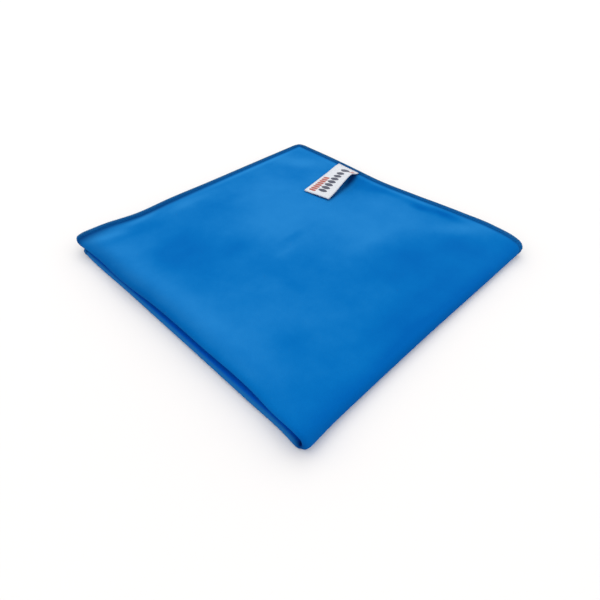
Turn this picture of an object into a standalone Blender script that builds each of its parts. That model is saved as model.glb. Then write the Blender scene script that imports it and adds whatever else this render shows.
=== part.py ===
"""A microfibre cloth folded twice into a square, with its overlocked hem and sewn-in label.

One square sheet is folded in half at its left edge, and the two layers are folded again at
their right edge. The near corner is the middle of the sheet, and its four corners lie over
each other at the back. The frame is metres, +Z up, with the origin under the middle.
"""

import math
from collections import namedtuple

import bpy
import numpy as np

MM = 0.001

# Driving sizes, in millimetres.
CLOTH_SIDE = 400.0
CLOTH_THICK = 1.0
HEM_WIDE = 4.0
HEM_THICK = 1.7
LAYER_GAP = 0.4
LABEL_WIDE = 20.8
LABEL_LONG = 47.6
LABEL_THICK = 1.0
PIECE_GAP = 0.3

FOLDED_SIDE = CLOTH_SIDE / 2
HALF_SIDE = FOLDED_SIDE / 2
LAYER_PITCH = CLOTH_THICK + LAYER_GAP
HEM_PITCH = HEM_THICK + LAYER_GAP

# How far from a fold or a hem the layers take to settle onto each other.
LEFT_FOLD_REACH = 16.0
RIGHT_FOLD_REACH = 20.0
HEM_REACH = 18.0
HEM_STEP = 1.0
PLAN_REACH = 70.0
PARTED_REACH = 20.0
CURL_REACH = 9.0

# The sheet thins by this share over this distance from its cut edge, which makes its rim round.
RIM_SHARE = 0.45
RIM_REACH = 1.6

# At what level in the stack the lower roll or hem hands over to the upper one, and how softly.
ROLL_LEVEL = 0.3
ROLL_LEVEL_SPAN = 0.4
HEM_LEVEL = 0.1
HEM_LEVEL_SPAN = 0.8

# Moves the folded cloth so that the middle of its box is over the origin.
PLAN_SHIFT_X = -0.85
PLAN_SHIFT_Y = 0.34

# The left edge is two stacked rolls. "along" runs from the near corner to the left corner,
# "out" moves a roll outwards, "radius" is that of the sheet's middle in the roll, and
# "parted" is how much further apart than plain layers the two rolls stand. The two rolls
# are one at the near corner, so their radii are the same in its row.
Roll = namedtuple("Roll", "along upper_out lower_out upper_radius lower_radius parted")
LEFT_FOLD = (
    Roll(0, 0.4, 0.4, 0.9, 0.9, 0.0),
    Roll(5, -0.2, 0.1, 1.1, 1.1, 0.7),
    Roll(12, -0.7, -0.5, 1.3, 1.3, 0.9),
    Roll(35, -2.5, -0.5, 1.5, 1.5, 1.9),
    Roll(70, -2.3, -0.6, 1.4, 1.5, 2.3),
    Roll(110, -2.2, -0.5, 1.4, 1.5, 2.0),
    Roll(145, -0.6, -0.4, 1.5, 1.4, 1.3),
    Roll(180, -0.9, 0.0, 1.4, 1.2, 0.7),
    Roll(200, 1.6, -0.4, 1.3, 1.2, 0.3),
)

# The right edge is one wide turn round the inner layers. "along" runs from the near corner
# to the right corner, and "hollow" is the radius of the space inside the turn.
Turn = namedtuple("Turn", "along out hollow")
RIGHT_FOLD = (
    Turn(0, 2.2, 2.2),
    Turn(16, 1.2, 1.5),
    Turn(45, 0.7, 0.9),
    Turn(100, 0.7, 0.7),
    Turn(160, 1.5, 0.8),
    Turn(200, 1.8, 1.0),
)

# The hems lie on four layers. "along" runs from the left corner, or from the right one, to
# the back corner, and "curl" is how far the top hem lifts off the one below.
Hem = namedtuple("Hem", "along upper_out lower_out curl")
LEFT_HEM = (
    Hem(0, 4.8, -4.0, 0.4),
    Hem(18, 4.7, -2.5, 1.2),
    Hem(45, 2.6, -1.0, 0.6),
    Hem(70, 3.7, -0.7, 0.4),
    Hem(105, 3.2, -0.4, 0.3),
    Hem(145, 3.2, 0.0, 0.2),
    Hem(200, 2.9, 0.2, 0.2),
)
RIGHT_HEM = (
    Hem(0, -3.0, -4.2, 0.2),
    Hem(10, 1.1, -1.6, 0.3),
    Hem(22, 3.4, 0.0, 0.4),
    Hem(45, 2.4, -0.5, 0.5),
    Hem(80, -0.6, -2.0, 0.3),
    Hem(110, -1.7, -3.0, 0.1),
    Hem(135, -0.6, -2.0, 0.2),
    Hem(160, 0.5, -1.5, 0.4),
    Hem(200, 2.3, -0.5, 0.2),
)

# Soft swells of the top layers: where each is, how far it reaches along and across its own
# length, how its length is turned from +X, and how high it stands.
Swell = namedtuple("Swell", "x y reach_along reach_across turned height")
TOP_SWELLS = (
    Swell(-76, 12, 75, 16, 92, 1.3),
    Swell(-30, -45, 60, 22, 100, 0.6),
    Swell(30, 40, 60, 26, 20, 1.0),
    Swell(62, -10, 26, 50, 60, 0.7),
    Swell(-20, 70, 50, 18, -10, 0.8),
)
PAIR_SWELLS = (
    Swell(-10, -10, 70, 60, 45, 1.0),
    Swell(55, 45, 45, 35, 0, 0.6),
    Swell(-100, 100, 34, 26, 90, 0.9),
)

# How far each corner of the plan is rounded, how fully, and how much past its reach it grows.
Corner = namedtuple("Corner", "side_x side_y reach share")
CORNERS = (
    Corner(-1, -1, 4.5, 0.4),
    Corner(1, -1, 4.5, 0.4),
    Corner(-1, 1, 8.0, 0.4),
    Corner(1, 1, 7.0, 0.6),
)
CORNER_LIMIT = 1.2

# The label is caught in the right hem and lies askew on the top layer.
LABEL_FROM_BACK = 58.9
LABEL_FROM_EDGE = 4.0
LABEL_TURN = 10.8
LABEL_ARCH = 3.4
LABEL_ARCH_LEAN = 0.65
LABEL_ARCH_AT = 14.0
LABEL_ARCH_REACH = 22.0
LABEL_TIP_LIFT = 0.1
LABEL_TIP_REACH = 14.0
LABEL_HEM_REACH = 8.0
LABEL_STEPS_ALONG = 16
LABEL_STEPS_ACROSS = 4

# Distances of the sheet's ruled lines from its cut edge, from the start of a fold's turn
# and from the fold's middle, and how many lines cross the plain cloth between.
HEM_LINES = (0.0, RIM_REACH / 2, RIM_REACH, HEM_WIDE, HEM_WIDE + HEM_STEP, 9.5, 14.0, 20.0)
APPROACH_LINES = (27.0, 19.0, 13.0, 8.0, 4.0)
TURN_STEPS = 4
PLAIN_LINES = 9
LEFT_FOLD_TURN = 2.7
RIGHT_FOLD_TURN = 5.4

CLOTH_BLUE = (0.006, 0.176, 0.584, 1.0)
LABEL_WHITE = (0.85, 0.86, 0.88, 1.0)


def smooth(share):
    """A soft step from 0 to 1, flat at both ends."""
    share = np.clip(share, 0.0, 1.0)
    return share * share * (3.0 - 2.0 * share)


def along_table(rows, column, along):
    """The column's value at a distance along the edge, on a smooth curve through the rows."""
    places = np.array([row.along for row in rows], float)
    values = np.array([getattr(row, column) for row in rows], float)
    slopes = np.gradient(values, places)
    along = np.clip(along, places[0], places[-1])
    near = np.clip(np.searchsorted(places, along, side="right") - 1, 0, len(rows) - 2)
    span = places[near + 1] - places[near]
    share = (along - places[near]) / span
    value = values[near] + (values[near + 1] - values[near]) * smooth(share)
    lean = slopes[near] * (1.0 - share) - slopes[near + 1] * share
    return value + span * share * (1.0 - share) * lean


def from_cut_edge(a, b):
    """Distance of a point of the flat sheet from its nearest cut edge."""
    return CLOTH_SIDE / 2 - np.maximum(np.abs(a), np.abs(b))


def sheet_thickness(a, b):
    """The sheet's own thickness: plain cloth, then the thicker overlocked hem with a round rim."""
    inside = from_cut_edge(a, b)
    hem = 1.0 - smooth((inside - HEM_WIDE) / HEM_STEP)
    rim = 1.0 - RIM_SHARE * (1.0 - np.clip(inside / RIM_REACH, 0.0, 1.0)) ** 2
    return (CLOTH_THICK + (HEM_THICK - CLOTH_THICK) * hem) * rim


def layer_pitch(a, b):
    """The spacing of the layers' middles, which the thicker hems hold apart near them."""
    inside = from_cut_edge(a, b)
    near_hem = 1.0 - smooth((inside - HEM_WIDE - HEM_STEP) / HEM_REACH)
    return LAYER_PITCH + (HEM_PITCH - LAYER_PITCH) * near_hem


def swell_height(rows, x, y):
    """The summed height of soft oval swells at a place in the plan."""
    height = np.zeros_like(x)
    for row in rows:
        turned = math.radians(row.turned)
        along = (x - row.x) * math.cos(turned) + (y - row.y) * math.sin(turned)
        across = (y - row.y) * math.cos(turned) - (x - row.x) * math.sin(turned)
        spread = (along / row.reach_along) ** 2 + (across / row.reach_across) ** 2
        height += row.height * np.exp(-spread)
    return height


def warp_plan(x, y, level):
    """Moves the edges out or in as the tables say. level is 0 at the floor and 1 on top."""
    upper_roll = smooth((level - ROLL_LEVEL) / ROLL_LEVEL_SPAN)
    upper_hem = smooth((level - HEM_LEVEL) / HEM_LEVEL_SPAN)
    from_near = y + HALF_SIDE
    from_left = x + HALF_SIDE

    def mixed(rows, along, upper):
        low = along_table(rows, "lower_out", along)
        return low + (along_table(rows, "upper_out", along) - low) * upper

    left_fold = mixed(LEFT_FOLD, from_near, upper_roll)
    left_fold *= 1.0 - smooth(from_left / PLAN_REACH)
    right_fold = along_table(RIGHT_FOLD, "out", from_left)
    right_fold *= 1.0 - smooth(from_near / PLAN_REACH)
    left_hem = mixed(LEFT_HEM, from_left, upper_hem)
    left_hem *= smooth(1.0 - (HALF_SIDE - y) / PLAN_REACH)
    right_hem = mixed(RIGHT_HEM, from_near, upper_hem)
    right_hem *= smooth(1.0 - (HALF_SIDE - x) / PLAN_REACH)
    return x - left_fold + right_hem, y - right_fold + left_hem


def round_corners(x, y):
    """Draws each corner of the plan in, as a fold's end and a hem's corner are."""
    for corner in CORNERS:
        start = HALF_SIDE - corner.reach
        over_x = np.maximum(x * corner.side_x - start, 0.0) / corner.reach
        over_y = np.maximum(y * corner.side_y - start, 0.0) / corner.reach
        pull_x = 1.0 - np.sqrt(1.0 - np.clip(over_y, 0.0, CORNER_LIMIT) ** 2 / 2)
        pull_y = 1.0 - np.sqrt(1.0 - np.clip(over_x, 0.0, CORNER_LIMIT) ** 2 / 2)
        x = x - corner.side_x * corner.reach * corner.share * over_x * pull_x
        y = y - corner.side_y * corner.reach * corner.share * over_y * pull_y
    return x, y


def fold(a, b, w):
    """Where a point of the sheet lies once it is folded twice.

    a and b are its place on the flat sheet from the sheet's middle, and w is its height
    over the sheet's middle surface, on the side that ends up outside.
    """
    thick = sheet_thickness(a, b)
    pitch = layer_pitch(a, b)

    # The first fold: two layers round a roll at the left edge.
    lower_roll = along_table(LEFT_FOLD, "lower_radius", np.abs(b))
    upper_roll = along_table(LEFT_FOLD, "upper_radius", np.abs(b))
    roll = np.where(b > 0, upper_roll, lower_roll)
    angle = np.minimum(np.abs(a) / roll, math.pi / 2)
    straight = np.maximum(np.abs(a) - roll * math.pi / 2, 0.0)
    from_left = roll * (1.0 - np.cos(angle)) + straight
    opened = 1.0 - smooth(straight / LEFT_FOLD_REACH)
    apart = pitch / 2 + (roll - pitch / 2) * opened
    lower_apart = pitch / 2 + (lower_roll - pitch / 2) * opened
    outer = np.where(a > 0, 1.0, -1.0)
    x = from_left - w * np.cos(angle)
    over_pair = outer * (apart + w) * np.sin(angle)

    # The second fold: both layers round the turn at the right edge.
    hollow = along_table(RIGHT_FOLD, "hollow", from_left)
    bend = apart + CLOTH_THICK / 2 + hollow
    turn = np.minimum(np.abs(b) / bend, math.pi / 2)
    beyond = np.maximum(np.abs(b) - bend * math.pi / 2, 0.0)
    settled = 1.0 - smooth(beyond / RIGHT_FOLD_REACH)
    parted = along_table(LEFT_FOLD, "parted", np.abs(b))
    parted = parted * np.exp(-((from_left / PARTED_REACH) ** 2))
    between = pitch / 2 + (CLOTH_THICK / 2 + hollow - pitch / 2) * settled + parted / 2
    upper = np.where(b > 0, 1.0, -1.0)
    y = bend * (1.0 - np.cos(turn)) + beyond - over_pair * np.cos(turn)
    middle = 2 * lower_apart + between + thick / 2
    z = middle + upper * (apart + between + over_pair) * np.sin(turn)

    # The swells and the curled hems lift the upper pair and, on it, the top layer.
    x = x - HALF_SIDE
    y = y - HALF_SIDE
    pair_level = (1.0 + upper * np.sin(turn)) / 2
    top_level = pair_level * (1.0 + outer * np.sin(angle)) / 2
    left_curl = along_table(LEFT_HEM, "curl", x + HALF_SIDE)
    left_curl = left_curl * np.exp(-(((HALF_SIDE - y) / CURL_REACH) ** 2))
    right_curl = along_table(RIGHT_HEM, "curl", y + HALF_SIDE)
    right_curl = right_curl * np.exp(-(((HALF_SIDE - x) / CURL_REACH) ** 2))
    pair_lift = swell_height(PAIR_SWELLS, x, y)
    top_lift = swell_height(TOP_SWELLS, x, y) + left_curl + right_curl
    z = z + pair_lift * pair_level + top_lift * top_level

    level = np.clip(z / (2 * middle + pair_lift + top_lift), 0.0, 1.0)
    x, y = warp_plan(x, y, level)
    x, y = round_corners(x, y)
    return x + PLAN_SHIFT_X, y + PLAN_SHIFT_Y, z


def ruled_lines(turn_length):
    """Distances from the fold's middle to the cut edge, close together where the sheet bends."""
    half = CLOTH_SIDE / 2
    lines = [turn_length * step / TURN_STEPS for step in range(TURN_STEPS + 1)]
    lines += [turn_length + line for line in reversed(APPROACH_LINES)]
    hem = [half - line for line in reversed(HEM_LINES)]
    start, end = lines[-1], hem[0]
    step = (end - start) / PLAIN_LINES
    lines += [start + step * count for count in range(1, PLAIN_LINES)]
    lines += hem
    return [-line for line in reversed(lines[1:])] + lines


def new_slab(name, lines_x, lines_y, material, collection):
    """A flat slab 2 high, ruled along the given lines, made from a grid and a Solidify."""
    bpy.ops.mesh.primitive_grid_add(
        x_subdivisions=len(lines_x) - 1, y_subdivisions=len(lines_y) - 1, size=2.0
    )
    slab = bpy.context.object
    slab.name = name
    for vertex in slab.data.vertices:
        column = round((vertex.co.x + 1.0) / 2.0 * (len(lines_x) - 1))
        row = round((vertex.co.y + 1.0) / 2.0 * (len(lines_y) - 1))
        vertex.co = (lines_x[column], lines_y[row], 0.0)
    solidify = slab.modifiers.new("thickness", "SOLIDIFY")
    solidify.thickness = 2.0
    solidify.offset = 0.0
    bpy.ops.object.modifier_apply(modifier=solidify.name)
    slab.data.materials.append(material)
    for user in slab.users_collection:
        user.objects.unlink(slab)
    collection.objects.link(slab)
    return slab


def bend_slab(slab, place):
    """Moves the slab's points to where place(flat x, flat y, side of the slab) puts them."""
    points = np.empty(len(slab.data.vertices) * 3)
    slab.data.vertices.foreach_get("co", points)
    flat = points.reshape(-1, 3)
    bent = np.stack(place(flat[:, 0], flat[:, 1], np.sign(flat[:, 2])), axis=1) * MM
    slab.data.vertices.foreach_set("co", bent.ravel())
    slab.data.update()
    slab.data.shade_smooth()


def place_cloth(a, b, side):
    """The folded cloth, with its own thickness on both sides of its middle."""
    return fold(a, b, side * sheet_thickness(a, b) / 2)


def place_label(along, across, side):
    """The label, from its sewn end in the right hem to its free end on the top layer."""
    turned = math.radians(LABEL_TURN)
    ease = smooth(along / LABEL_LONG)
    edge = CLOTH_SIDE / 2
    a = edge - LABEL_FROM_EDGE - along * math.cos(turned) + across * math.sin(turned) * ease
    b = edge - LABEL_FROM_BACK - along * math.sin(turned) - across * math.cos(turned)
    on_hem = 1.0 - smooth((along + LABEL_FROM_EDGE - HEM_WIDE - HEM_STEP) / LABEL_HEM_REACH)
    rest = (CLOTH_THICK + (HEM_THICK - CLOTH_THICK) * on_hem) / 2
    away = (along - LABEL_ARCH_AT) / LABEL_ARCH_REACH
    lean = 1.0 + LABEL_ARCH_LEAN * across / (LABEL_WIDE / 2)
    arch = LABEL_ARCH * lean * np.exp(-(away**2)) * smooth(along / LABEL_ARCH_AT)
    tip = LABEL_TIP_LIFT * smooth((along - LABEL_LONG + LABEL_TIP_REACH) / LABEL_TIP_REACH)
    height = rest + PIECE_GAP + LABEL_THICK / 2 + arch + tip
    return fold(a, b, height + side * LABEL_THICK / 2)


def cloth_material(name, colour, roughness, sheen):
    material = bpy.data.materials.new(name)
    material.use_nodes = True
    shader = material.node_tree.nodes["Principled BSDF"]
    shader.inputs["Base Color"].default_value = colour
    shader.inputs["Roughness"].default_value = roughness
    shader.inputs["Metallic"].default_value = 0.0
    shader.inputs["Sheen Weight"].default_value = sheen
    return material


def clear_scene():
    for scene_object in list(bpy.data.objects):
        bpy.data.objects.remove(scene_object)


def main():
    clear_scene()
    collection = bpy.data.collections.new("folded_cloth")
    bpy.context.scene.collection.children.link(collection)

    cloth = new_slab(
        "cloth",
        ruled_lines(LEFT_FOLD_TURN),
        ruled_lines(RIGHT_FOLD_TURN),
        cloth_material("microfibre", CLOTH_BLUE, 0.85, 0.4),
        collection,
    )
    bend_slab(cloth, place_cloth)

    label = new_slab(
        "label",
        [LABEL_LONG * step / LABEL_STEPS_ALONG for step in range(LABEL_STEPS_ALONG + 1)],
        [LABEL_WIDE * (step / LABEL_STEPS_ACROSS - 0.5) for step in range(LABEL_STEPS_ACROSS + 1)],
        cloth_material("label_satin", LABEL_WHITE, 0.45, 0.0),
        collection,
    )
    bend_slab(label, place_label)


main()
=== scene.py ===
"""Looks of a microfibre cloth that is folded twice into a square: its napped sheet, the overlock
thread round its edge and its sewn-in ribbon label, on a plain floor under soft studio light.

Lengths are in millimetres up to the point where a mesh is written, which is in metres.
"""

import math
from collections import namedtuple

import bpy
import numpy as np
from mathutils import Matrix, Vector


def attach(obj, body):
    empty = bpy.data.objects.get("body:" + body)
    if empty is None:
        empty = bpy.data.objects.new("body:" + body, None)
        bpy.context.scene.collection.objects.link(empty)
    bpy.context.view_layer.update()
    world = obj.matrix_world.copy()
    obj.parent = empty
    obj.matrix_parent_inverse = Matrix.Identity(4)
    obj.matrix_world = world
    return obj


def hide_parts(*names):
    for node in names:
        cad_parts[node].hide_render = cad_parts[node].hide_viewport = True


bl_info = {
    "name": "Folded Microfibre Cloth",
    "version": (1, 0, 0),
    "blender": (4, 5, 0),
    "location": "3D View > Sidebar > Cloth",
    "description": "Makes a twice-folded microfibre cloth with its overlocked hem and label",
    "category": "Add Mesh",
}

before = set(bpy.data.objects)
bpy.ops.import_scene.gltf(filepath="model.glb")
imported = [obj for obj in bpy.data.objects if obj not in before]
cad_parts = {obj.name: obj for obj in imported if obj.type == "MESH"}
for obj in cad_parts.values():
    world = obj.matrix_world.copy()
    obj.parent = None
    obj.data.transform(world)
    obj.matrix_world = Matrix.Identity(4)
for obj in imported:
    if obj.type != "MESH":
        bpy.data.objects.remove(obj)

MM = 0.001
BODY = "root"

# How far from a fold or a hem the layers take to settle onto each other.
LEFT_FOLD_REACH = 16.0
RIGHT_FOLD_REACH = 20.0
HEM_REACH = 18.0
HEM_STEP = 1.0
PLAN_REACH = 70.0
PARTED_REACH = 20.0
CURL_REACH = 9.0

# The sheet thins by this share over this distance from its cut edge, which makes its rim round.
RIM_SHARE = 0.45
RIM_REACH = 1.6

# At what level in the stack the lower roll or hem hands over to the upper one, and how softly.
ROLL_LEVEL = 0.3
ROLL_LEVEL_SPAN = 0.4
HEM_LEVEL = 0.1
HEM_LEVEL_SPAN = 0.8

# Moves the folded cloth so that the middle of its box is over the origin.
PLAN_SHIFT_X = -0.85
PLAN_SHIFT_Y = 0.34

# The left edge is two stacked rolls. "along" runs from the near corner to the left corner,
# "out" moves a roll outwards, "radius" is that of the sheet's middle in the roll, and
# "parted" is how much further apart than plain layers the two rolls stand.
Roll = namedtuple("Roll", "along upper_out lower_out upper_radius lower_radius parted")
LEFT_FOLD = (
    Roll(0, 0.4, 0.4, 0.9, 0.9, 0.0),
    Roll(5, -0.2, 0.1, 1.1, 1.1, 0.7),
    Roll(12, -0.7, -0.5, 1.3, 1.3, 0.9),
    Roll(35, -2.5, -0.5, 1.5, 1.5, 1.9),
    Roll(70, -2.3, -0.6, 1.4, 1.5, 2.3),
    Roll(110, -2.2, -0.5, 1.4, 1.5, 2.0),
    Roll(145, -0.6, -0.4, 1.5, 1.4, 1.3),
    Roll(180, -0.9, 0.0, 1.4, 1.2, 0.7),
    Roll(200, 1.6, -0.4, 1.3, 1.2, 0.3),
)

# The right edge is one wide turn round the inner layers. "hollow" is the radius inside it.
Turn = namedtuple("Turn", "along out hollow")
RIGHT_FOLD = (
    Turn(0, 2.2, 2.2),
    Turn(16, 1.2, 1.5),
    Turn(45, 0.7, 0.9),
    Turn(100, 0.7, 0.7),
    Turn(160, 1.5, 0.8),
    Turn(200, 1.8, 1.0),
)

# The hems lie on four layers, and "curl" is how far the top one lifts off the one below.
Hem = namedtuple("Hem", "along upper_out lower_out curl")
LEFT_HEM = (
    Hem(0, 4.8, -4.0, 0.4),
    Hem(18, 4.7, -2.5, 1.2),
    Hem(45, 2.6, -1.0, 0.6),
    Hem(70, 3.7, -0.7, 0.4),
    Hem(105, 3.2, -0.4, 0.3),
    Hem(145, 3.2, 0.0, 0.2),
    Hem(200, 2.9, 0.2, 0.2),
)
RIGHT_HEM = (
    Hem(0, -3.0, -4.2, 0.2),
    Hem(10, 1.1, -1.6, 0.3),
    Hem(22, 3.4, 0.0, 0.4),
    Hem(45, 2.4, -0.5, 0.5),
    Hem(80, -0.6, -2.0, 0.3),
    Hem(110, -1.7, -3.0, 0.1),
    Hem(135, -0.6, -2.0, 0.2),
    Hem(160, 0.5, -1.5, 0.4),
    Hem(200, 2.3, -0.5, 0.2),
)

# Soft ovals in the plan: where each is, how far it reaches along and across its own length,
# how its length is turned from +X, and how much it does. Swells lift the cloth that much.
Oval = namedtuple("Oval", "x y reach_along reach_across turned amount")
TOP_SWELLS = (
    Oval(-76, 12, 75, 16, 92, 1.3),
    Oval(-30, -45, 60, 22, 100, 0.6),
    Oval(30, 40, 60, 26, 20, 1.0),
    Oval(62, -10, 26, 50, 60, 0.7),
    Oval(-20, 70, 50, 18, -10, 0.8),
)
PAIR_SWELLS = (
    Oval(-10, -10, 70, 60, 45, 1.0),
    Oval(55, 45, 45, 35, 0, 0.6),
    Oval(-100, 100, 34, 26, 90, 0.9),
)

# Where a hand has left the top layer's nap brushed up and pale, or pressed down and dark,
# together with painted light: painted highlights on the puffed lips inside the hems and on a band
# by the left edge, and painted shade in a hollow, in a valley inside the right hem and along the
# folded edges.
NAP_SHADE_AND_HIGHLIGHT_MARKS = (
    Oval(-54, 38, 31, 27, 60, -0.36),
    Oval(-30, 26, 9, 7, 0, -0.22),
    Oval(-50, 58, 16, 6, 10, -0.15),
    Oval(-68, 50, 6, 10, 0, -0.15),
    Oval(-84, 8, 66, 9, 92, 0.20),
    Oval(-100, 10, 110, 3.0, 90, -0.35),
    Oval(-82, 87.5, 13, 3.2, -8, 0.45),
    Oval(-58, 91.5, 12, 2.2, 6, 0.45),
    Oval(-22, 87.5, 17, 3.4, 0, 0.30),
    Oval(38, 93.0, 44, 1.6, 0, 0.38),
    Oval(93.2, 0, 45, 1.3, 90, 0.15),
    Oval(-68, 83, 22, 5, 0, -0.22),
    Oval(-12, 75, 22, 11, 0, -0.17),
    Oval(80, 76, 26, 6.5, -58, 0.40),
    Oval(60, 64, 10, 14, -20, -0.22),
    Oval(34, 62, 24, 26, 0, 0.11),
    Oval(16, 32, 44, 20, 8, 0.19),
    Oval(3, 8, 9, 2.2, 0, -0.25),
    Oval(-10, 0, 10, 3, 0, 0.20),
    Oval(-18, 30, 12, 14, 0, -0.10),
    Oval(6, -6, 14, 10, 0, -0.14),
    Oval(-56, -6, 16, 22, 0, -0.10),
    Oval(-32, -56, 14, 18, 0, -0.10),
    Oval(-12, -22, 26, 16, -60, -0.18),
    Oval(-31, -22, 18, 4, 90, -0.12),
    Oval(54, -10, 44, 28, -25, 0.20),
    Oval(32, -29, 22, 6, -6, 0.22),
    Oval(34, -50, 30, 8, -6, -0.09),
    Oval(36, -62, 44, 24, -6, -0.34),
    Oval(76, -86, 18, 14, 0, -0.14),
    Oval(26, -84, 44, 9, 0, -0.28),
    Oval(68, -70, 10, 8, 0, -0.22),
    Oval(86, -64, 20, 6, -50, 0.34),
    Oval(-78, -84, 34, 24, 0, -0.26),
    Oval(-60, -56, 12, 7, 0, -0.15),
    Oval(-15, -86, 22, 14, 0, -0.30),
    Oval(0, -99, 120, 7, 0, -0.60),
    Oval(88, -30, 7, 3, 90, -0.55),
    Oval(91, -46, 9, 3, 90, -0.50),
    Oval(86, 10, 11, 4, 105, -0.28),
    Oval(84, 21, 15, 5, 10, -0.22),
    Oval(90, -6, 52, 3, 90, -0.25),
)

# Painted shadow and shade on the top layer's nap: under the label's raised edges, along the left
# hem by the left corner, beside the two folded edges, and in the mouth at the near corner.
PAINTED_SHADOW_MARKS = (
    Oval(87, 30.5, 10, 3.0, 14, 0.75),
    Oval(71, 26.2, 13, 1.9, 12, 0.45),
    Oval(58, 23.5, 6, 1.3, 11, 0.5),
    Oval(49.6, 31.6, 7.5, 1.0, 101, 0.5),
    Oval(-55, 95.2, 45, 2.1, 0, 0.55),
    Oval(-22, 95.0, 24, 1.6, 0, 0.20),
    Oval(-92, 93.4, 16, 3.6, 0, 0.34),
    Oval(-98, 50, 85, 6.5, 90, 0.30),
    Oval(0, -100, 130, 1.8, 0, 0.16),
    Oval(-102.0, -102.6, 2.3, 4.4, 0, 1.3),
)

# Painted shade lies deep between the left edge's two rolls, and painted floor bounce light,
# greyer and lighter, on the outside of the lower one: the first five are distances on the flat
# sheet from the middle of that fold.
# Past the other fold, the nap of the lower pair of layers is darker all over.
CREVICE_SHADE_FROM = 1.2
CREVICE_SHADE_UNTIL = 30.0
CREVICE_SHADE_FADE = 30.0
BOUNCE_UNTIL = 1.6
ROLL_BLEND = 1.0
UNDER_NAP = -0.22
UNDER_REACH = 10.0

# How far each corner of the plan is rounded, how fully, and how much past its reach it grows.
Corner = namedtuple("Corner", "side_x side_y reach share")
CORNERS = (
    Corner(-1, -1, 4.5, 0.4),
    Corner(1, -1, 4.5, 0.4),
    Corner(-1, 1, 8.0, 0.4),
    Corner(1, 1, 7.0, 0.6),
)
CORNER_LIMIT = 1.2

# The needle thread draws the sheet in along a groove. Free of weight, the top layer puffs up
# inside it, and the loopers gather its rim outside it into a round bead.
GROOVE_DEPTH = 0.45
GROOVE_REACH = 0.8
PUFF_HEIGHT = 0.40
PUFF_FROM_HEM = 4.4
PUFF_REACH = 2.4
BEAD_HEIGHT = 0.50
BEAD_FROM_EDGE = 1.7
BEAD_REACH = 1.4
TOP_SETTLE = 25.0
# Inside the needle thread, the thread's colour fades out over this distance as painted shade of
# the groove.
GROOVE_SHADE_FADE = 2.2

# Spacing of the sheet's ruled lines in a fold's turn, beside it, in plain cloth and at a hem.
LEFT_TURN_LENGTH = 2.7
RIGHT_TURN_LENGTH = 5.4
TURN_STEP = 0.34
APPROACH_LENGTH = 20.0
APPROACH_STEP = 1.3
PLAIN_STEP = 3.0
HEM_ZONE = 16.0
HEM_LINE_STEP = 0.75

# The label is caught in the right hem and lies askew on the top layer.
LABEL_FROM_BACK = 58.9
LABEL_FROM_EDGE = 4.0
LABEL_IN_SEAM = 0.9
LABEL_TURN = 10.8
LABEL_ARCH = 3.4
LABEL_ARCH_LEAN = 0.65
LABEL_ARCH_AT = 14.0
LABEL_ARCH_REACH = 22.0
LABEL_TIP_LIFT = 0.1
LABEL_TIP_REACH = 14.0
LABEL_HEM_REACH = 8.0
LABEL_HEM_RISE = 3.0
LABEL_FREE_REACH = 6.0
LABEL_PRESSED = 0.45
LABEL_LAYERS_APART = 0.6
LABEL_REST_GAP = 0.3
LABEL_LOWER_SHIFT = 0.5
LABEL_STEPS_ALONG = 90
LABEL_STEPS_ACROSS = 14

# Rows of plain shapes woven into the label. "start" and "end" are from its free end, "across"
# is from its middle towards its left edge, and a higher squareness fills a shape's corners.
Row = namedtuple("Row", "colour start end pitch across half_length half_width squareness")
LABEL_ROWS = (
    Row("dash_colour", 2.6, 24.6, 2.75, 5.7, 1.2, 2.7, 3.0),
    Row("lozenge_colour", 5.0, 35.3, 4.3, -1.2, 1.9, 3.7, 1.7),
    Row("lozenge_colour", 35.8, 43.6, 7.8, -1.6, 3.4, 4.4, 1.5),
    Row("dash_colour", 38.0, 44.4, 3.2, -7.6, 1.25, 1.9, 4.0),
)

# The photograph is square. The camera looks at a point on the floor from a bearing and height.
SENSOR = 36.0
LENS = 27.76
CAMERA_BEARING = -45.15
CAMERA_ELEVATION = 42.82
CAMERA_DISTANCE = 264.6
CAMERA_AIM_X = -34.38
CAMERA_AIM_Y = -33.23
CAMERA_NEAR = 0.01

# The softbox faces the cloth from here, in metres.
SOFTBOX_PLACE = (0.85, 1.1, 2.1)
SOFTBOX_SIDE = 2.0

Sheet = namedtuple("Sheet", "side thick hem_wide hem_thick gap")
Ribbon = namedtuple("Ribbon", "wide long ribbon_thick")


# ---- sizes and colours to change


def length_setting(name, description, default, least):
    """A length in metres, no shorter than least."""
    return bpy.props.FloatProperty(
        name=name, description=description, default=default, min=least, unit="LENGTH"
    )


def amount_setting(name, description, default):
    """A plain number, no less than 0."""
    return bpy.props.FloatProperty(name=name, description=description, default=default, min=0.0)


def colour_setting(name, description, default):
    """A colour, as linear red, green and blue from 0 to 1."""
    return bpy.props.FloatVectorProperty(
        name=name, description=description, default=default, min=0.0, max=1.0, subtype="COLOR"
    )


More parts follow.
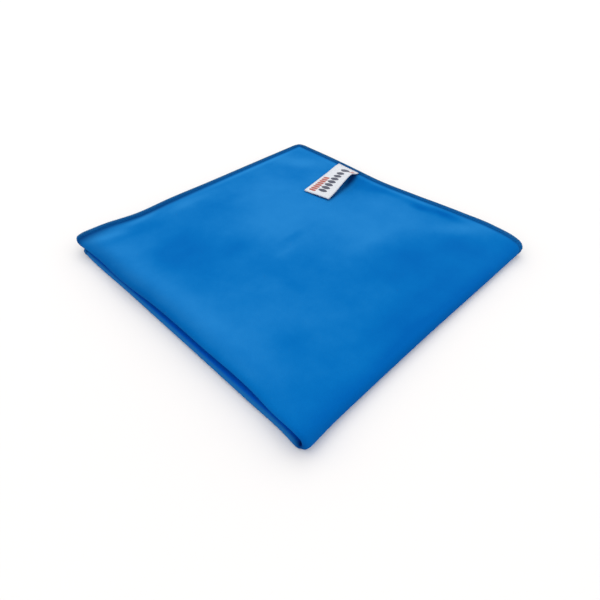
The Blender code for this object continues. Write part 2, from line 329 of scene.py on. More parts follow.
class ClothSettings(bpy.types.PropertyGroup):
    """Sizes and colours of the sheet."""

    side: length_setting(
        "Side", "Length of each side of the cloth before it is folded", 0.400, least=0.1
    )
    thick: length_setting("Thickness", "Thickness of the plain cloth", 0.0010, least=0.0003)
    hem_wide: length_setting(
        "Hem Width", "Width of the hem up to the needle thread", 0.0040, least=0.001
    )
    hem_thick: length_setting(
        "Hem Thickness", "Thickness of the hem over its threads", 0.0017, least=0.0005
    )
    gap: length_setting(
        "Layer Gap", "Space between two layers that lie on each other", 0.0004, least=0.0
    )
    colour: colour_setting(
        "Colour", "Colour of the nap where it is brushed down", (0.0, 0.108, 0.405)
    )
    brushed_colour: colour_setting(
        "Brushed Colour", "Paler colour of the nap where it is brushed up", (0.0035, 0.203, 0.545)
    )
    # Painted sheen: a whitish colour mixed in where the nap is brushed up most.
    painted_sheen_colour: colour_setting(
        "Pale Colour", "Whitish colour of the nap's raised tips", (0.060, 0.245, 0.590)
    )
    # Painted shade: the deep, bluer colour of the nap between the left edge's two rolls.
    crevice_shade_colour: colour_setting(
        "Pressed Colour", "Deep colour of the nap that a fold presses", (0.0, 0.095, 0.520)
    )
    # Painted light: bounce from the floor, greyer and lighter, on the outside of the lower roll.
    floor_bounce_colour: colour_setting(
        "Rolled Colour", "Dull colour of the nap round the lower roll", (0.010, 0.130, 0.385)
    )
    painted_shadow_colour: colour_setting(
        # Painted shadow: nearly black, where shade falls under the label's edges, along the
        # grooves and folded edges, and in the near corner's mouth.
        "Crease Colour", "Nearly black colour of the nap in a crease", (0.0, 0.010, 0.100)
    )


class ThreadSettings(bpy.types.PropertyGroup):
    """Sizes and colour of the overlock thread."""

    pitch: length_setting(
        "Stitch Length", "Distance from one overlock stitch to the next", 0.0016, least=0.0005
    )
    thick: length_setting(
        "Thread Thickness", "Thickness of the loose overlock thread", 0.00036, least=0.0001
    )
    colour: colour_setting(
        "Colour", "Colour of the thread beside the needle thread", (0.003, 0.112, 0.372)
    )
    # Painted highlight: the thread is lighter and greyer where it turns over the cut edge.
    rim_highlight_colour: colour_setting(
        "Rim Colour", "Greyer colour of the thread over the cut edge", (0.045, 0.200, 0.352)
    )


class LabelSettings(bpy.types.PropertyGroup):
    """Sizes and colours of the sewn-in label."""

    wide: length_setting("Width", "Width of the label's ribbon", 0.0208, least=0.005)
    long: length_setting(
        "Length", "Length of the label from the hem to its folded free end", 0.0476, least=0.01
    )
    ribbon_thick: length_setting(
        "Ribbon Thickness", "Thickness of one layer of the ribbon", 0.00028, least=0.0001
    )
    colour: colour_setting("Colour", "Colour of the ribbon", (0.62, 0.64, 0.68))
    dash_colour: colour_setting(
        "Dash Colour", "Colour of the row of small woven dashes", (0.36, 0.050, 0.022)
    )
    lozenge_colour: colour_setting(
        "Lozenge Colour", "Colour of the row of woven lozenges", (0.012, 0.016, 0.050)
    )


class StageSettings(bpy.types.PropertyGroup):
    """The plain floor and the studio light."""

    floor_size: length_setting("Floor Size", "Length of each side of the floor", 6.0, least=1.0)
    floor_colour: colour_setting("Floor Colour", "Colour of the floor", (0.82, 0.806, 0.800))
    dome_strength: amount_setting(
        "Dome Strength", "Strength of the even white light from all round", 1.12
    )
    softbox_power: amount_setting(
        "Softbox Power", "Power of the softbox behind and above the cloth, in watts", 12.0
    )


SETTINGS = {
    "cloth_settings": ClothSettings,
    "thread_settings": ThreadSettings,
    "label_settings": LabelSettings,
    "stage_settings": StageSettings,
}


# ---- how the sheet is folded


def smooth(share):
    """A soft step from 0 to 1, flat at both ends."""
    share = np.clip(share, 0.0, 1.0)
    return share * share * (3.0 - 2.0 * share)


def hump(away, reach):
    """1 in the middle of a soft hump, falling to nearly 0 at twice its reach."""
    return np.exp(-((away / reach) ** 2))


def along_table(rows, column, along):
    """The column's value at a distance along the edge, on a smooth curve through the rows."""
    places = np.array([row.along for row in rows], float)
    values = np.array([getattr(row, column) for row in rows], float)
    slopes = np.gradient(values, places)
    along = np.clip(along, places[0], places[-1])
    near = np.clip(np.searchsorted(places, along, side="right") - 1, 0, len(rows) - 2)
    span = places[near + 1] - places[near]
    share = (along - places[near]) / span
    value = values[near] + (values[near + 1] - values[near]) * smooth(share)
    lean = slopes[near] * (1.0 - share) - slopes[near + 1] * share
    return value + span * share * (1.0 - share) * lean


def sizes_in(kind, settings):
    """The settings that a kind of tuple names, in millimetres."""
    return kind(*(getattr(settings, name) / MM for name in kind._fields))


def from_cut_edge(sheet, a, b):
    """Distance of a point of the flat sheet from its nearest cut edge."""
    return sheet.side / 2 - np.maximum(np.abs(a), np.abs(b))


def hem_share(sheet, a, b, beyond, reach):
    """1 on the hem, falling softly to 0 over a reach that starts a little way beyond it."""
    return 1.0 - smooth((from_cut_edge(sheet, a, b) - sheet.hem_wide - beyond) / reach)


def layer_pitch(sheet, a, b):
    """The spacing of the layers' middles, which the thicker hems hold apart near them."""
    plain = sheet.thick + sheet.gap
    at_hem = sheet.hem_thick + sheet.gap
    return plain + (at_hem - plain) * hem_share(sheet, a, b, HEM_STEP, HEM_REACH)


def layer_thickness(sheet, a, b):
    """The thickness that a layer takes up in the stack: its hem is thicker, with its thread."""
    hem = hem_share(sheet, a, b, 0.0, HEM_STEP)
    return sheet.thick + (sheet.hem_thick - sheet.thick) * hem


def cloth_thickness(sheet, a, b):
    """The thickness of the cloth alone, drawn in under the needle thread and puffed inside it."""
    inside = from_cut_edge(sheet, a, b)
    groove = hump(inside - sheet.hem_wide, GROOVE_REACH)
    puff = hump(inside - sheet.hem_wide - PUFF_FROM_HEM, PUFF_REACH)
    bead = hump(inside - BEAD_FROM_EDGE, BEAD_REACH)
    on_top = smooth(a / TOP_SETTLE) * smooth(b / TOP_SETTLE)
    rim = 1.0 - RIM_SHARE * (1.0 - np.clip(inside / RIM_REACH, 0.0, 1.0)) ** 2
    drawn = sheet.thick - GROOVE_DEPTH * groove
    return (drawn + on_top * (PUFF_HEIGHT * puff + BEAD_HEIGHT * bead)) * rim


def thread_cover_and_groove_shade(sheet, a, b):
    """1 where the overlock thread covers the cloth and packs the nap down, fading to 0 inside the
    needle thread as painted shade of its groove.
    """
    return 1.0 - smooth((from_cut_edge(sheet, a, b) - sheet.hem_wide) / GROOVE_SHADE_FADE)


def sum_ovals(rows, x, y):
    """What the soft ovals do together at a place in the plan."""
    total = np.zeros_like(x)
    for row in rows:
        turned = math.radians(row.turned)
        along = (x - row.x) * math.cos(turned) + (y - row.y) * math.sin(turned)
        across = (y - row.y) * math.cos(turned) - (x - row.x) * math.sin(turned)
        spread = (along / row.reach_along) ** 2 + (across / row.reach_across) ** 2
        total += row.amount * np.exp(-spread)
    return total


def warp_plan(half, x, y, level):
    """Moves the edges out or in as the tables say. level is 0 at the floor and 1 on top."""
    upper_roll = smooth((level - ROLL_LEVEL) / ROLL_LEVEL_SPAN)
    upper_hem = smooth((level - HEM_LEVEL) / HEM_LEVEL_SPAN)
    from_near = y + half
    from_left = x + half

    def mixed(rows, along, upper):
        low = along_table(rows, "lower_out", along)
        return low + (along_table(rows, "upper_out", along) - low) * upper

    left_fold = mixed(LEFT_FOLD, from_near, upper_roll) * (1.0 - smooth(from_left / PLAN_REACH))
    right_fold = along_table(RIGHT_FOLD, "out", from_left)
    right_fold *= 1.0 - smooth(from_near / PLAN_REACH)
    left_hem = mixed(LEFT_HEM, from_left, upper_hem) * smooth(1.0 - (half - y) / PLAN_REACH)
    right_hem = mixed(RIGHT_HEM, from_near, upper_hem) * smooth(1.0 - (half - x) / PLAN_REACH)
    return x - left_fold + right_hem, y - right_fold + left_hem


def round_corners(half, x, y):
    """Draws each corner of the plan in, as a fold's end and a hem's corner are."""
    for corner in CORNERS:
        start = half - corner.reach
        over_x = np.maximum(x * corner.side_x - start, 0.0) / corner.reach
        over_y = np.maximum(y * corner.side_y - start, 0.0) / corner.reach
        pull_x = 1.0 - np.sqrt(1.0 - np.clip(over_y, 0.0, CORNER_LIMIT) ** 2 / 2)
        pull_y = 1.0 - np.sqrt(1.0 - np.clip(over_x, 0.0, CORNER_LIMIT) ** 2 / 2)
        x = x - corner.side_x * corner.reach * corner.share * over_x * pull_x
        y = y - corner.side_y * corner.reach * corner.share * over_y * pull_y
    return x, y


def fold(sheet, a, b, w):
    """Where a point of the sheet lies once it is folded twice, in millimetres.

    a and b are its place on the flat sheet from the sheet's middle, and w is its height
    over the sheet's middle surface, on the side that ends up outside.
    """
    half = sheet.side / 4
    thick = layer_thickness(sheet, a, b)
    pitch = layer_pitch(sheet, a, b)

    # The first fold: two layers round a roll at the left edge.
    lower_roll = along_table(LEFT_FOLD, "lower_radius", np.abs(b))
    upper_roll = along_table(LEFT_FOLD, "upper_radius", np.abs(b))
    roll = np.where(b > 0, upper_roll, lower_roll)
    angle = np.minimum(np.abs(a) / roll, math.pi / 2)
    straight = np.maximum(np.abs(a) - roll * math.pi / 2, 0.0)
    from_left = roll * (1.0 - np.cos(angle)) + straight
    opened = 1.0 - smooth(straight / LEFT_FOLD_REACH)
    apart = pitch / 2 + (roll - pitch / 2) * opened
    lower_apart = pitch / 2 + (lower_roll - pitch / 2) * opened
    outer = np.where(a > 0, 1.0, -1.0)
    x = from_left - w * np.cos(angle)
    over_pair = outer * (apart + w) * np.sin(angle)

    # The second fold: both layers round the turn at the right edge.
    hollow = along_table(RIGHT_FOLD, "hollow", from_left)
    bend = apart + sheet.thick / 2 + hollow
    turn = np.minimum(np.abs(b) / bend, math.pi / 2)
    beyond = np.maximum(np.abs(b) - bend * math.pi / 2, 0.0)
    settled = 1.0 - smooth(beyond / RIGHT_FOLD_REACH)
    parted = along_table(LEFT_FOLD, "parted", np.abs(b)) * hump(from_left, PARTED_REACH)
    between = pitch / 2 + (sheet.thick / 2 + hollow - pitch / 2) * settled + parted / 2
    upper = np.where(b > 0, 1.0, -1.0)
    y = bend * (1.0 - np.cos(turn)) + beyond - over_pair * np.cos(turn)
    middle = 2 * lower_apart + between + thick / 2
    z = middle + upper * (apart + between + over_pair) * np.sin(turn)

    # The swells and the curled hems lift the upper pair and, on it, the top layer.
    x = x - half
    y = y - half
    pair_level = (1.0 + upper * np.sin(turn)) / 2
    top_level = pair_level * (1.0 + outer * np.sin(angle)) / 2
    pair_lift = sum_ovals(PAIR_SWELLS, x, y)
    top_lift = sum_ovals(TOP_SWELLS, x, y)
    for hem, along, inside in ((LEFT_HEM, x + half, half - y), (RIGHT_HEM, y + half, half - x)):
        top_lift += along_table(hem, "curl", along) * hump(inside, CURL_REACH)
    z = z + pair_lift * pair_level + top_lift * top_level

    level = np.clip(z / (2 * middle + pair_lift + top_lift), 0.0, 1.0)
    x, y = warp_plan(half, x, y, level)
    x, y = round_corners(half, x, y)
    return x + PLAN_SHIFT_X, y + PLAN_SHIFT_Y, z


# ---- meshes

# A new grid's side, and the flat slab's thickness, which only tells its two sides apart.
GRID_SIDE = 2.0
SLAB_THICK = 2.0


def deselect_all():
    bpy.ops.object.select_all(action="DESELECT")


def read_points(mesh):
    """The mesh's points, a row for each."""
    points = np.empty(len(mesh.vertices) * 3)
    mesh.vertices.foreach_get("co", points)
    return points.reshape(-1, 3)


def ruled_slab(name, columns, rows):
    """A flat slab ruled along the given lines, with a UV map of its own flat place in metres."""
    deselect_all()
    bpy.ops.mesh.primitive_grid_add(
        x_subdivisions=len(columns) - 1, y_subdivisions=len(rows) - 1, size=GRID_SIDE
    )
    piece = bpy.context.object
    piece.name = name
    mesh = piece.data
    points = read_points(mesh)
    for axis, lines in enumerate((columns, rows)):
        share = points[:, axis] / GRID_SIDE + 0.5
        points[:, axis] = lines[np.rint(share * (len(lines) - 1)).astype(int)]
    mesh.vertices.foreach_set("co", points.ravel())
    corners = np.empty(len(mesh.loops), int)
    mesh.loops.foreach_get("vertex_index", corners)
    mesh.uv_layers.active.data.foreach_set("uv", (points[corners, :2] * MM).ravel())
    solidify = piece.modifiers.new("thickness", "SOLIDIFY")
    solidify.thickness = SLAB_THICK
    solidify.offset = 0.0
    bpy.ops.object.modifier_apply(modifier=solidify.name)
    return piece


def move_points(piece, places):
    """Moves the slab's points to their places in the folded cloth, given in millimetres."""
    mesh = piece.data
    mesh.vertices.foreach_set("co", (np.stack(places, axis=1) * MM).ravel())
    mesh.update()
    mesh.shade_smooth()


def keep_numbers(piece, name, numbers):
    """Keeps a number for each of the piece's points, for its material to read."""
    attribute = piece.data.attributes.new(name, "FLOAT", "POINT")
    attribute.data.foreach_set("value", numbers)


def stretch(start, end, step):
    """Evenly spaced places from start to end, no further apart than step."""
    return np.linspace(start, end, math.ceil((end - start) / step) + 1)


def ruled_lines(sheet, turn_length):
    """Places of the sheet's ruled lines across its side, closest where the sheet bends."""
    half = sheet.side / 2
    approach_end = turn_length + APPROACH_LENGTH
    lines = np.concatenate(
        (
            stretch(0.0, turn_length, TURN_STEP),
            stretch(turn_length, approach_end, APPROACH_STEP),
            stretch(approach_end, half - HEM_ZONE, PLAIN_STEP),
            stretch(half - HEM_ZONE, half, HEM_LINE_STEP),
        )
    )
    lines = np.unique(lines.round(4))
    return np.concatenate((-lines[:0:-1], lines))


def thread_mesh(name, routes, thickness):
    """A mesh of threads that follow closed routes, given as arrays of points in metres."""
    curve = bpy.data.curves.new(name, "CURVE")
    curve.dimensions = "3D"
    curve.bevel_depth = thickness / 2
    curve.bevel_resolution = 0
    for route in routes:
        spline = curve.splines.new("POLY")
        spline.points.add(len(route) - 1)
        fourth = np.ones((len(route), 1))
        spline.points.foreach_set("co", np.hstack((route, fourth)).ravel())
        spline.use_cyclic_u = True
    piece = bpy.data.objects.new(name, curve)
    bpy.context.scene.collection.objects.link(piece)
    deselect_all()
    piece.select_set(True)
    bpy.context.view_layer.objects.active = piece
    bpy.ops.object.convert(target="MESH")
    piece = bpy.context.object
    piece.data.shade_smooth()
    return piece


def keep_ring_numbers(piece, name, numbers):
    """Keeps one number for each ring of a thread's points, in the order of its routes."""
    keep_numbers(piece, name, np.repeat(numbers, len(piece.data.vertices) // len(numbers)))


def finish_piece(piece, material):
    """Gives the piece its material and makes it ride on the part."""
    piece.data.materials.clear()
    piece.data.materials.append(material)
    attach(piece, BODY)


# ---- the sheet


def place_cloth(sheet, a, b, side):
    """The folded cloth, with its own thickness on both sides of its middle."""
    return fold(sheet, a, b, side * cloth_thickness(sheet, a, b) / 2)


def painted_crevice_shade(a):
    """1 where the nap is painted in deep, dark shade between the two rolls of the left edge."""
    ending = smooth((-a - CREVICE_SHADE_UNTIL) / CREVICE_SHADE_FADE)
    return smooth((-a - CREVICE_SHADE_FROM) / ROLL_BLEND) * (1.0 - ending)


def painted_floor_bounce(a, b):
    """1 where painted floor bounce light makes the nap greyer and lighter, on the outside of the
    left edge's lower roll.
    """
    past_roll = smooth((np.abs(a) - BOUNCE_UNTIL) / ROLL_BLEND)
    return smooth(-b / UNDER_REACH) * (1.0 - past_roll)


def nap_with_painted_light(sheet, a, b):
    """How far the nap is brushed up or down at a place on the flat sheet, with the painted
    highlights and painted shade of its marks.
    """
    marks = sum_ovals(NAP_SHADE_AND_HIGHLIGHT_MARKS, a - sheet.side / 4, b - sheet.side / 4)
    return marks + UNDER_NAP * smooth(-b / UNDER_REACH)


# ---- the overlock thread

STITCH_POINTS = 8
NEEDLE_POINTS = 4
CORNER_FAN = 12.0

# How far a looper thread's zigzag bows, and where on its way out it drops over the cut edge.
LOOPER_BOW = 0.12
OVER_EDGE_FROM = 0.8
OVER_EDGE_DROP = 0.96

# How high the needle thread arches and how deep it sinks between, in its own thicknesses.
NEEDLE_RISE = 0.75
NEEDLE_SINK = 0.35

# How far the threads take to climb on the label, over its long edges and at its sewn end.
LABEL_SIDE_CLIMB = 1.2
LABEL_END_EARLY = 1.0
LABEL_END_CLIMB = 0.8


def hem_place(sheet, run, inside):
    """The flat place of a point on the hem: run is its distance round the cut edge from a
    corner, and inside is how far it is from the edge. Stitches fan round the corners."""
    half = sheet.side / 2
    side_number = np.floor(run / sheet.side)
    along = run - side_number * sheet.side - half
    fan = smooth((np.abs(along) - (half - CORNER_FAN)) / CORNER_FAN)
    along = along - np.sign(along) * inside * fan
    out = half - inside
    quarter = side_number * math.pi / 2
    a = along * np.cos(quarter) + out * np.sin(quarter)
    b = out * np.cos(quarter) - along * np.sin(quarter)
    return a, b


def stitch_runs(sheet, stitches, points, start):
    """Where a thread's points are, counted in stitches and as distances round the cut edge."""
    stitch = np.arange(stitches * points) / points + start
    return stitch, np.mod(stitch * sheet.side * 4 / stitches, sheet.side * 4)


def looper_route(sheet, stitches, thickness, side, ribbon):
    """A looper thread's zigzag between the needle thread and the cut edge, on one side, and
    how near the edge each of its points is, from 0 to 1."""
    stitch, run = stitch_runs(sheet, stitches, STITCH_POINTS, 0.0 if side > 0 else 0.5)
    to_edge = 1.0 - np.abs(2.0 * np.mod(stitch, 1.0) - 1.0)
    to_edge = to_edge + LOOPER_BOW * np.sin(2.0 * math.pi * to_edge) / 2
    inside = sheet.hem_wide * (1.0 - to_edge) - thickness / 2 * to_edge
    a, b = hem_place(sheet, run, inside)
    over = np.clip((to_edge - OVER_EDGE_FROM) / (1.0 - OVER_EDGE_FROM), 0.0, 1.0)
    over_edge = np.sqrt(1.0 - over**2 * OVER_EDGE_DROP)
    height = (cloth_thickness(sheet, a, b) + thickness) / 2
    if side > 0:
        height = over_label(sheet, ribbon, a, b, height, thickness)
    return fold(sheet, a, b, side * height * over_edge), to_edge


def needle_route(sheet, stitches, thickness, ribbon):
    """The needle thread's short stitches along the hem's inner side, none near the edge."""
    stitch, run = stitch_runs(sheet, stitches, NEEDLE_POINTS, 0.0)
    a, b = hem_place(sheet, run, np.full_like(run, sheet.hem_wide))
    arch = np.sin(math.pi * np.mod(stitch, 1.0)) ** 0.5
    height = cloth_thickness(sheet, a, b) / 2 + thickness * (NEEDLE_RISE * arch - NEEDLE_SINK)
    height = over_label(sheet, ribbon, a, b, height, thickness * arch)
    return fold(sheet, a, b, height), np.zeros_like(run)


# ---- the label


def over_label(sheet, ribbon, a, b, height, thickness):
    """The height of a hem thread, lifted where it crosses the label's sewn end."""
    from_middle = np.abs(b - (sheet.side / 2 - LABEL_FROM_BACK))
    beside = 1.0 - smooth((from_middle - ribbon.wide / 2) / LABEL_SIDE_CLIMB)
    past_end = from_cut_edge(sheet, a, b) - LABEL_FROM_EDGE + LABEL_IN_SEAM + LABEL_END_EARLY
    on_end = smooth(past_end / LABEL_END_CLIMB) * (a > 0)
    label_top = LABEL_PRESSED * (LABEL_REST_GAP + LABEL_LAYERS_APART) + ribbon.ribbon_thick
    lifted = sheet.thick / 2 + label_top + thickness / 2
    return height + np.maximum(lifted - height, 0.0) * beside * on_end


def place_ribbon(sheet, ribbon, travel, across, side):
    """The label's ribbon: travel runs from the lower layer's sewn end, round the folded free
    end, to the upper layer's sewn end."""
    turn_radius = LABEL_LAYERS_APART / 2
    run_length = ribbon.long - turn_radius
    past_run = travel - run_length
    in_turn = np.clip(past_run / turn_radius, 0.0, math.pi)
    back = np.maximum(past_run - turn_radius * math.pi, 0.0)
    normal = side * ribbon.ribbon_thick / 2
    along = np.minimum(travel, run_length) - back + (turn_radius - normal) * np.sin(in_turn)
    layer = -(turn_radius - normal) * np.cos(in_turn)

    turned = math.radians(LABEL_TURN)
    ease = smooth(along / ribbon.long)
    lower_shift = LABEL_LOWER_SHIFT * (layer < 0) * (1.0 - along / ribbon.long)
    across = across + lower_shift
    edge = sheet.side / 2
    a = edge - LABEL_FROM_EDGE - along * math.cos(turned) - across * math.sin(turned) * ease
    b = edge - LABEL_FROM_BACK - along * math.sin(turned) + across * math.cos(turned)
    past_hem = along + LABEL_FROM_EDGE - sheet.hem_wide - HEM_STEP
    on_hem = (1.0 - smooth(past_hem / LABEL_HEM_REACH)) * smooth(along / LABEL_HEM_RISE)
    rest = (sheet.thick + (sheet.hem_thick - sheet.thick) * on_hem) / 2
    lean = 1.0 - LABEL_ARCH_LEAN * across / (ribbon.wide / 2)
    arch = LABEL_ARCH * lean * hump(along - LABEL_ARCH_AT, LABEL_ARCH_REACH)
    arch *= smooth(along / LABEL_ARCH_AT)
    tip = LABEL_TIP_LIFT * smooth((along - ribbon.long + LABEL_TIP_REACH) / LABEL_TIP_REACH)
    pressed = LABEL_PRESSED + (1.0 - LABEL_PRESSED) * smooth(along / LABEL_FREE_REACH)
    bottom = rest + LABEL_REST_GAP * pressed + ribbon.ribbon_thick / 2 + arch + tip
    return fold(sheet, a, b, bottom + (turn_radius + layer) * pressed)


# ---- materials

# How uneven the nap is, how far it is brushed up where nothing has marked it, and how much of
# the painted sheen, a whitish colour, shows where it is brushed up most.
NAP_PATCHINESS = 0.60
NAP_BRUSHED = 0.58
PAINTED_SHEEN_SHARE = 0.22

BLACK = (0.0, 0.0, 0.0)
WHITE = (1.0, 1.0, 1.0)
RIBBON_SHADE = (0.55, 0.57, 0.62)


def new_material(name):
    """A new material, its node tree and its Principled shader."""
    material = bpy.data.materials.new(name)
    material.use_nodes = True
    return material, material.node_tree, material.node_tree.nodes["Principled BSDF"]


def feed(tree, socket, value):
    """Links the socket to another one, or gives it a plain number, vector or colour."""
    if isinstance(value, bpy.types.NodeSocket):
        tree.links.new(value, socket)
    elif socket.type == "RGBA":
        socket.default_value = (*value, 1.0)
    else:
        socket.default_value = value


def feed_all(tree, node, values):
    """Feeds the node's inputs, by their names."""
    for name, value in values.items():
        feed(tree, node.inputs[name], value)


def add_node(tree, kind, values=None, **properties):
    """A node of a kind, with its properties set and its inputs fed."""
    node = tree.nodes.new("ShaderNode" + kind)
    for name, value in properties.items():
        setattr(node, name, value)
    feed_all(tree, node, values or {})
    return node


# Each function from here to read_attribute adds nodes and gives back their output socket.


def add_math(tree, operation, *values):
    """A Math node over sockets or plain numbers."""
    node = add_node(tree, "Math", operation=operation)
    for socket, value in zip(node.inputs, values):
        feed(tree, socket, value)
    return node.outputs[0]


def add_line(tree, value, slope, start):
    """start plus slope times the value."""
    return add_math(tree, "MULTIPLY_ADD", value, slope, start)


def add_mix(tree, share, first, second):
    """A mix of two colours, each a socket or plain."""
    node = add_node(tree, "Mix", data_type="RGBA")
    for number, value in ((0, share), (6, first), (7, second)):
        feed(tree, node.inputs[number], value)
    return node.outputs[2]


def add_noise(tree, vector, scale, detail, roughness, stretch_by=None):
    """A noise over the vector, stretched along an axis if asked."""
    if stretch_by is not None:
        mapping = add_node(tree, "Mapping", {"Vector": vector, "Scale": stretch_by})
        vector = mapping.outputs["Vector"]
    values = {"Vector": vector, "Scale": scale, "Detail": detail, "Roughness": roughness}
    return add_node(tree, "TexNoise", values).outputs["Fac"]


def add_bump(tree, height, distance, strength):
    """A Bump node over the height."""
    values = {"Strength": strength, "Distance": distance, "Height": height}
    return add_node(tree, "Bump", values).outputs["Normal"]


def add_ramp(tree, value, low, high):
    """The value stretched so that low becomes 0 and high becomes 1, softly."""
    values = {"Value": value, "From Min": low, "From Max": high}
    node = add_node(tree, "MapRange", values, interpolation_type="SMOOTHSTEP")
    return node.outputs["Result"]


def add_oval(tree, place, oval):
    """The soft oval at its place on the flat sheet."""
    values = {
        "Vector": place,
        "Location": (oval.x * MM, oval.y * MM, 0.0),
        "Rotation": (0.0, 0.0, math.radians(oval.turned)),
        "Scale": (oval.reach_along * MM, oval.reach_across * MM, 1.0),
    }
    mapping = add_node(tree, "Mapping", values, vector_type="TEXTURE")
    away = add_node(tree, "VectorMath", operation="LENGTH")
    feed(tree, away.inputs[0], mapping.outputs["Vector"])
    spread = add_math(tree, "POWER", away.outputs["Value"], 2.0)
    falling = add_math(tree, "EXPONENT", add_math(tree, "MULTIPLY", spread, -1.0))
    return add_math(tree, "MULTIPLY", falling, oval.amount)


def read_attribute(tree, name):
    """The number kept for each point of the piece."""
    return add_node(tree, "Attribute", attribute_name=name).outputs["Fac"]


def new_group(name, inputs, outputs):
    """An empty node group that takes a vector and numbers, with its input and output nodes."""
    group = bpy.data.node_groups.new(name, "ShaderNodeTree")
    group.interface.new_socket("Vector", in_out="INPUT", socket_type="NodeSocketVector")
    for way, numbers in (("INPUT", inputs), ("OUTPUT", outputs)):
        for number in numbers:
            group.interface.new_socket(number, in_out=way, socket_type="NodeSocketFloat")
    return group, group.nodes.new("NodeGroupInput"), group.nodes.new("NodeGroupOutput")


def place_group(tree, name, make, vector, values):
    """The shared node group of that name, made when a material first asks for it and placed in
    this one over the vector, with its own values."""
    group = bpy.data.node_groups.get(name) or make(name)
    return add_node(tree, "Group", {"Vector": vector, **values}, node_tree=group)


def fibre_group(name):
    """Fine fibres that lie mostly one way, as on a nap, a thread or a woven ribbon."""
    inputs = ("Fibres Per Metre", "Strength")
    group, entry, leave = new_group(name, inputs, ("Shade", "Height"))
    vector = entry.outputs["Vector"]
    density = entry.outputs["Fibres Per Metre"]
    lying = add_noise(group, vector, density, 3.0, 0.6, stretch_by=(1.0, 0.35, 1.0))
    crossing = add_noise(group, vector, density, 2.0, 0.6, stretch_by=(0.45, 1.0, 1.0))
    both = add_math(group, "ADD", lying, crossing)
    centred = add_math(group, "SUBTRACT", both, 1.0)
    shade = add_math(group, "MULTIPLY", centred, entry.outputs["Strength"])
    feed_all(group, leave, {"Shade": shade, "Height": both})
    return group


def row_group(name):
    """A row of lozenges or dashes woven along the ribbon: 1 inside them and 0 outside."""
    inputs = ("Start", "End", "Pitch", "Across", "Half Length", "Half Width", "Squareness")
    group, entry, leave = new_group(name, inputs, ("Mask",))
    split = add_node(group, "SeparateXYZ", {"Vector": entry.outputs["Vector"]})
    from_start = add_math(group, "SUBTRACT", split.outputs["X"], entry.outputs["Start"])
    steps = add_math(group, "DIVIDE", from_start, entry.outputs["Pitch"])
    in_step = add_math(group, "SUBTRACT", add_math(group, "FRACT", steps), 0.5)
    along = add_math(group, "MULTIPLY", in_step, entry.outputs["Pitch"])
    across = add_math(group, "SUBTRACT", split.outputs["Y"], entry.outputs["Across"])
    shares = []
    for place, half in ((along, "Half Length"), (across, "Half Width")):
        share = add_math(group, "DIVIDE", place, entry.outputs[half])
        share = add_math(group, "ABSOLUTE", share)
        shares.append(add_math(group, "POWER", share, entry.outputs["Squareness"]))
    inside = add_math(group, "LESS_THAN", add_math(group, "ADD", *shares), 1.0)
    after_start = add_math(group, "GREATER_THAN", from_start, 0.0)
    before_end = add_math(group, "LESS_THAN", split.outputs["X"], entry.outputs["End"])
    in_row = add_math(group, "MULTIPLY", after_start, before_end)
    feed_all(group, leave, {"Mask": add_math(group, "MULTIPLY", inside, in_row)})
    return group


def add_fibres(tree, place, per_metre, strength):
    """The fibres' shade and height over the place."""
    values = {"Fibres Per Metre": per_metre, "Strength": strength}
    fibres = place_group(tree, "fibres", fibre_group, place, values)
    return fibres.outputs["Shade"], fibres.outputs["Height"]


def darken_gaps(tree, lit, colour, kept):
    """The colour, of which only a share is kept in the gaps between fibres."""
    return add_mix(tree, lit, add_mix(tree, kept, BLACK, colour), colour)


def microfibre_material(settings, seam_colour, shadow_marks):
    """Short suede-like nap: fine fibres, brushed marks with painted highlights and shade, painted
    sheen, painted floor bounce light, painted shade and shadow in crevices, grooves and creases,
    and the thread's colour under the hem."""
    material, tree, shader = new_material("microfibre_nap")
    place = add_node(tree, "UVMap").outputs["UV"]
    patches = add_noise(tree, place, scale=34.0, detail=5.0, roughness=0.65)
    patches = add_math(tree, "SUBTRACT", patches, 0.5)
    # The "brushed" numbers hold the nap's marks together with their painted highlights and
    # painted shade.
    marks = read_attribute(tree, "brushed")
    brushed = add_line(tree, patches, NAP_PATCHINESS, marks)
    brushed = add_math(tree, "ADD", brushed, NAP_BRUSHED)
    colour = add_mix(tree, brushed, settings.colour, settings.brushed_colour)
    # Painted sheen: a whitish colour mixed in where the nap is brushed up most.
    pale = add_math(tree, "MULTIPLY", add_ramp(tree, brushed, low=0.3, high=1.0), PAINTED_SHEEN_SHARE)
    colour = add_mix(tree, pale, colour, settings.painted_sheen_colour)
    # Painted floor bounce light on the outside of the left edge's lower roll.
    colour = add_mix(tree, read_attribute(tree, "floor_bounce"), colour, settings.floor_bounce_colour)
    # The "pressed" numbers carry painted shade between the left edge's two rolls.
    colour = add_mix(tree, read_attribute(tree, "pressed"), colour, settings.crevice_shade_colour)
    # Under the thread the cloth takes its colour, and just inside it a painted shade of the
    # groove.
    colour = add_mix(tree, read_attribute(tree, "thread_and_groove_shade"), colour, seam_colour)
    # Painted shadow from the ovals: under the label's edges, along the grooves and folded edges,
    # and in the near corner's mouth.
    painted_shadow = 0.0
    for oval in shadow_marks:
        painted_shadow = add_math(tree, "ADD", painted_shadow, add_oval(tree, place, oval))
    colour = add_mix(tree, painted_shadow, colour, settings.painted_shadow_colour)
    shade, height = add_fibres(tree, place, per_metre=2600.0, strength=0.9)
    lit = add_math(tree, "ADD", shade, 0.75)
    looks = {
        "Base Color": darken_gaps(tree, lit, colour, kept=0.82),
        "Roughness": add_line(tree, shade, slope=0.08, start=0.88),
        "Normal": add_bump(tree, height, distance=0.00012, strength=0.8),
        "Specular IOR Level": 0.01,
        "Sheen Weight": 0.02,
        "Sheen Roughness": 0.5,
        "Sheen Tint": (0.25, 0.60, 1.0),
    }
    feed_all(tree, shader, looks)
    return material


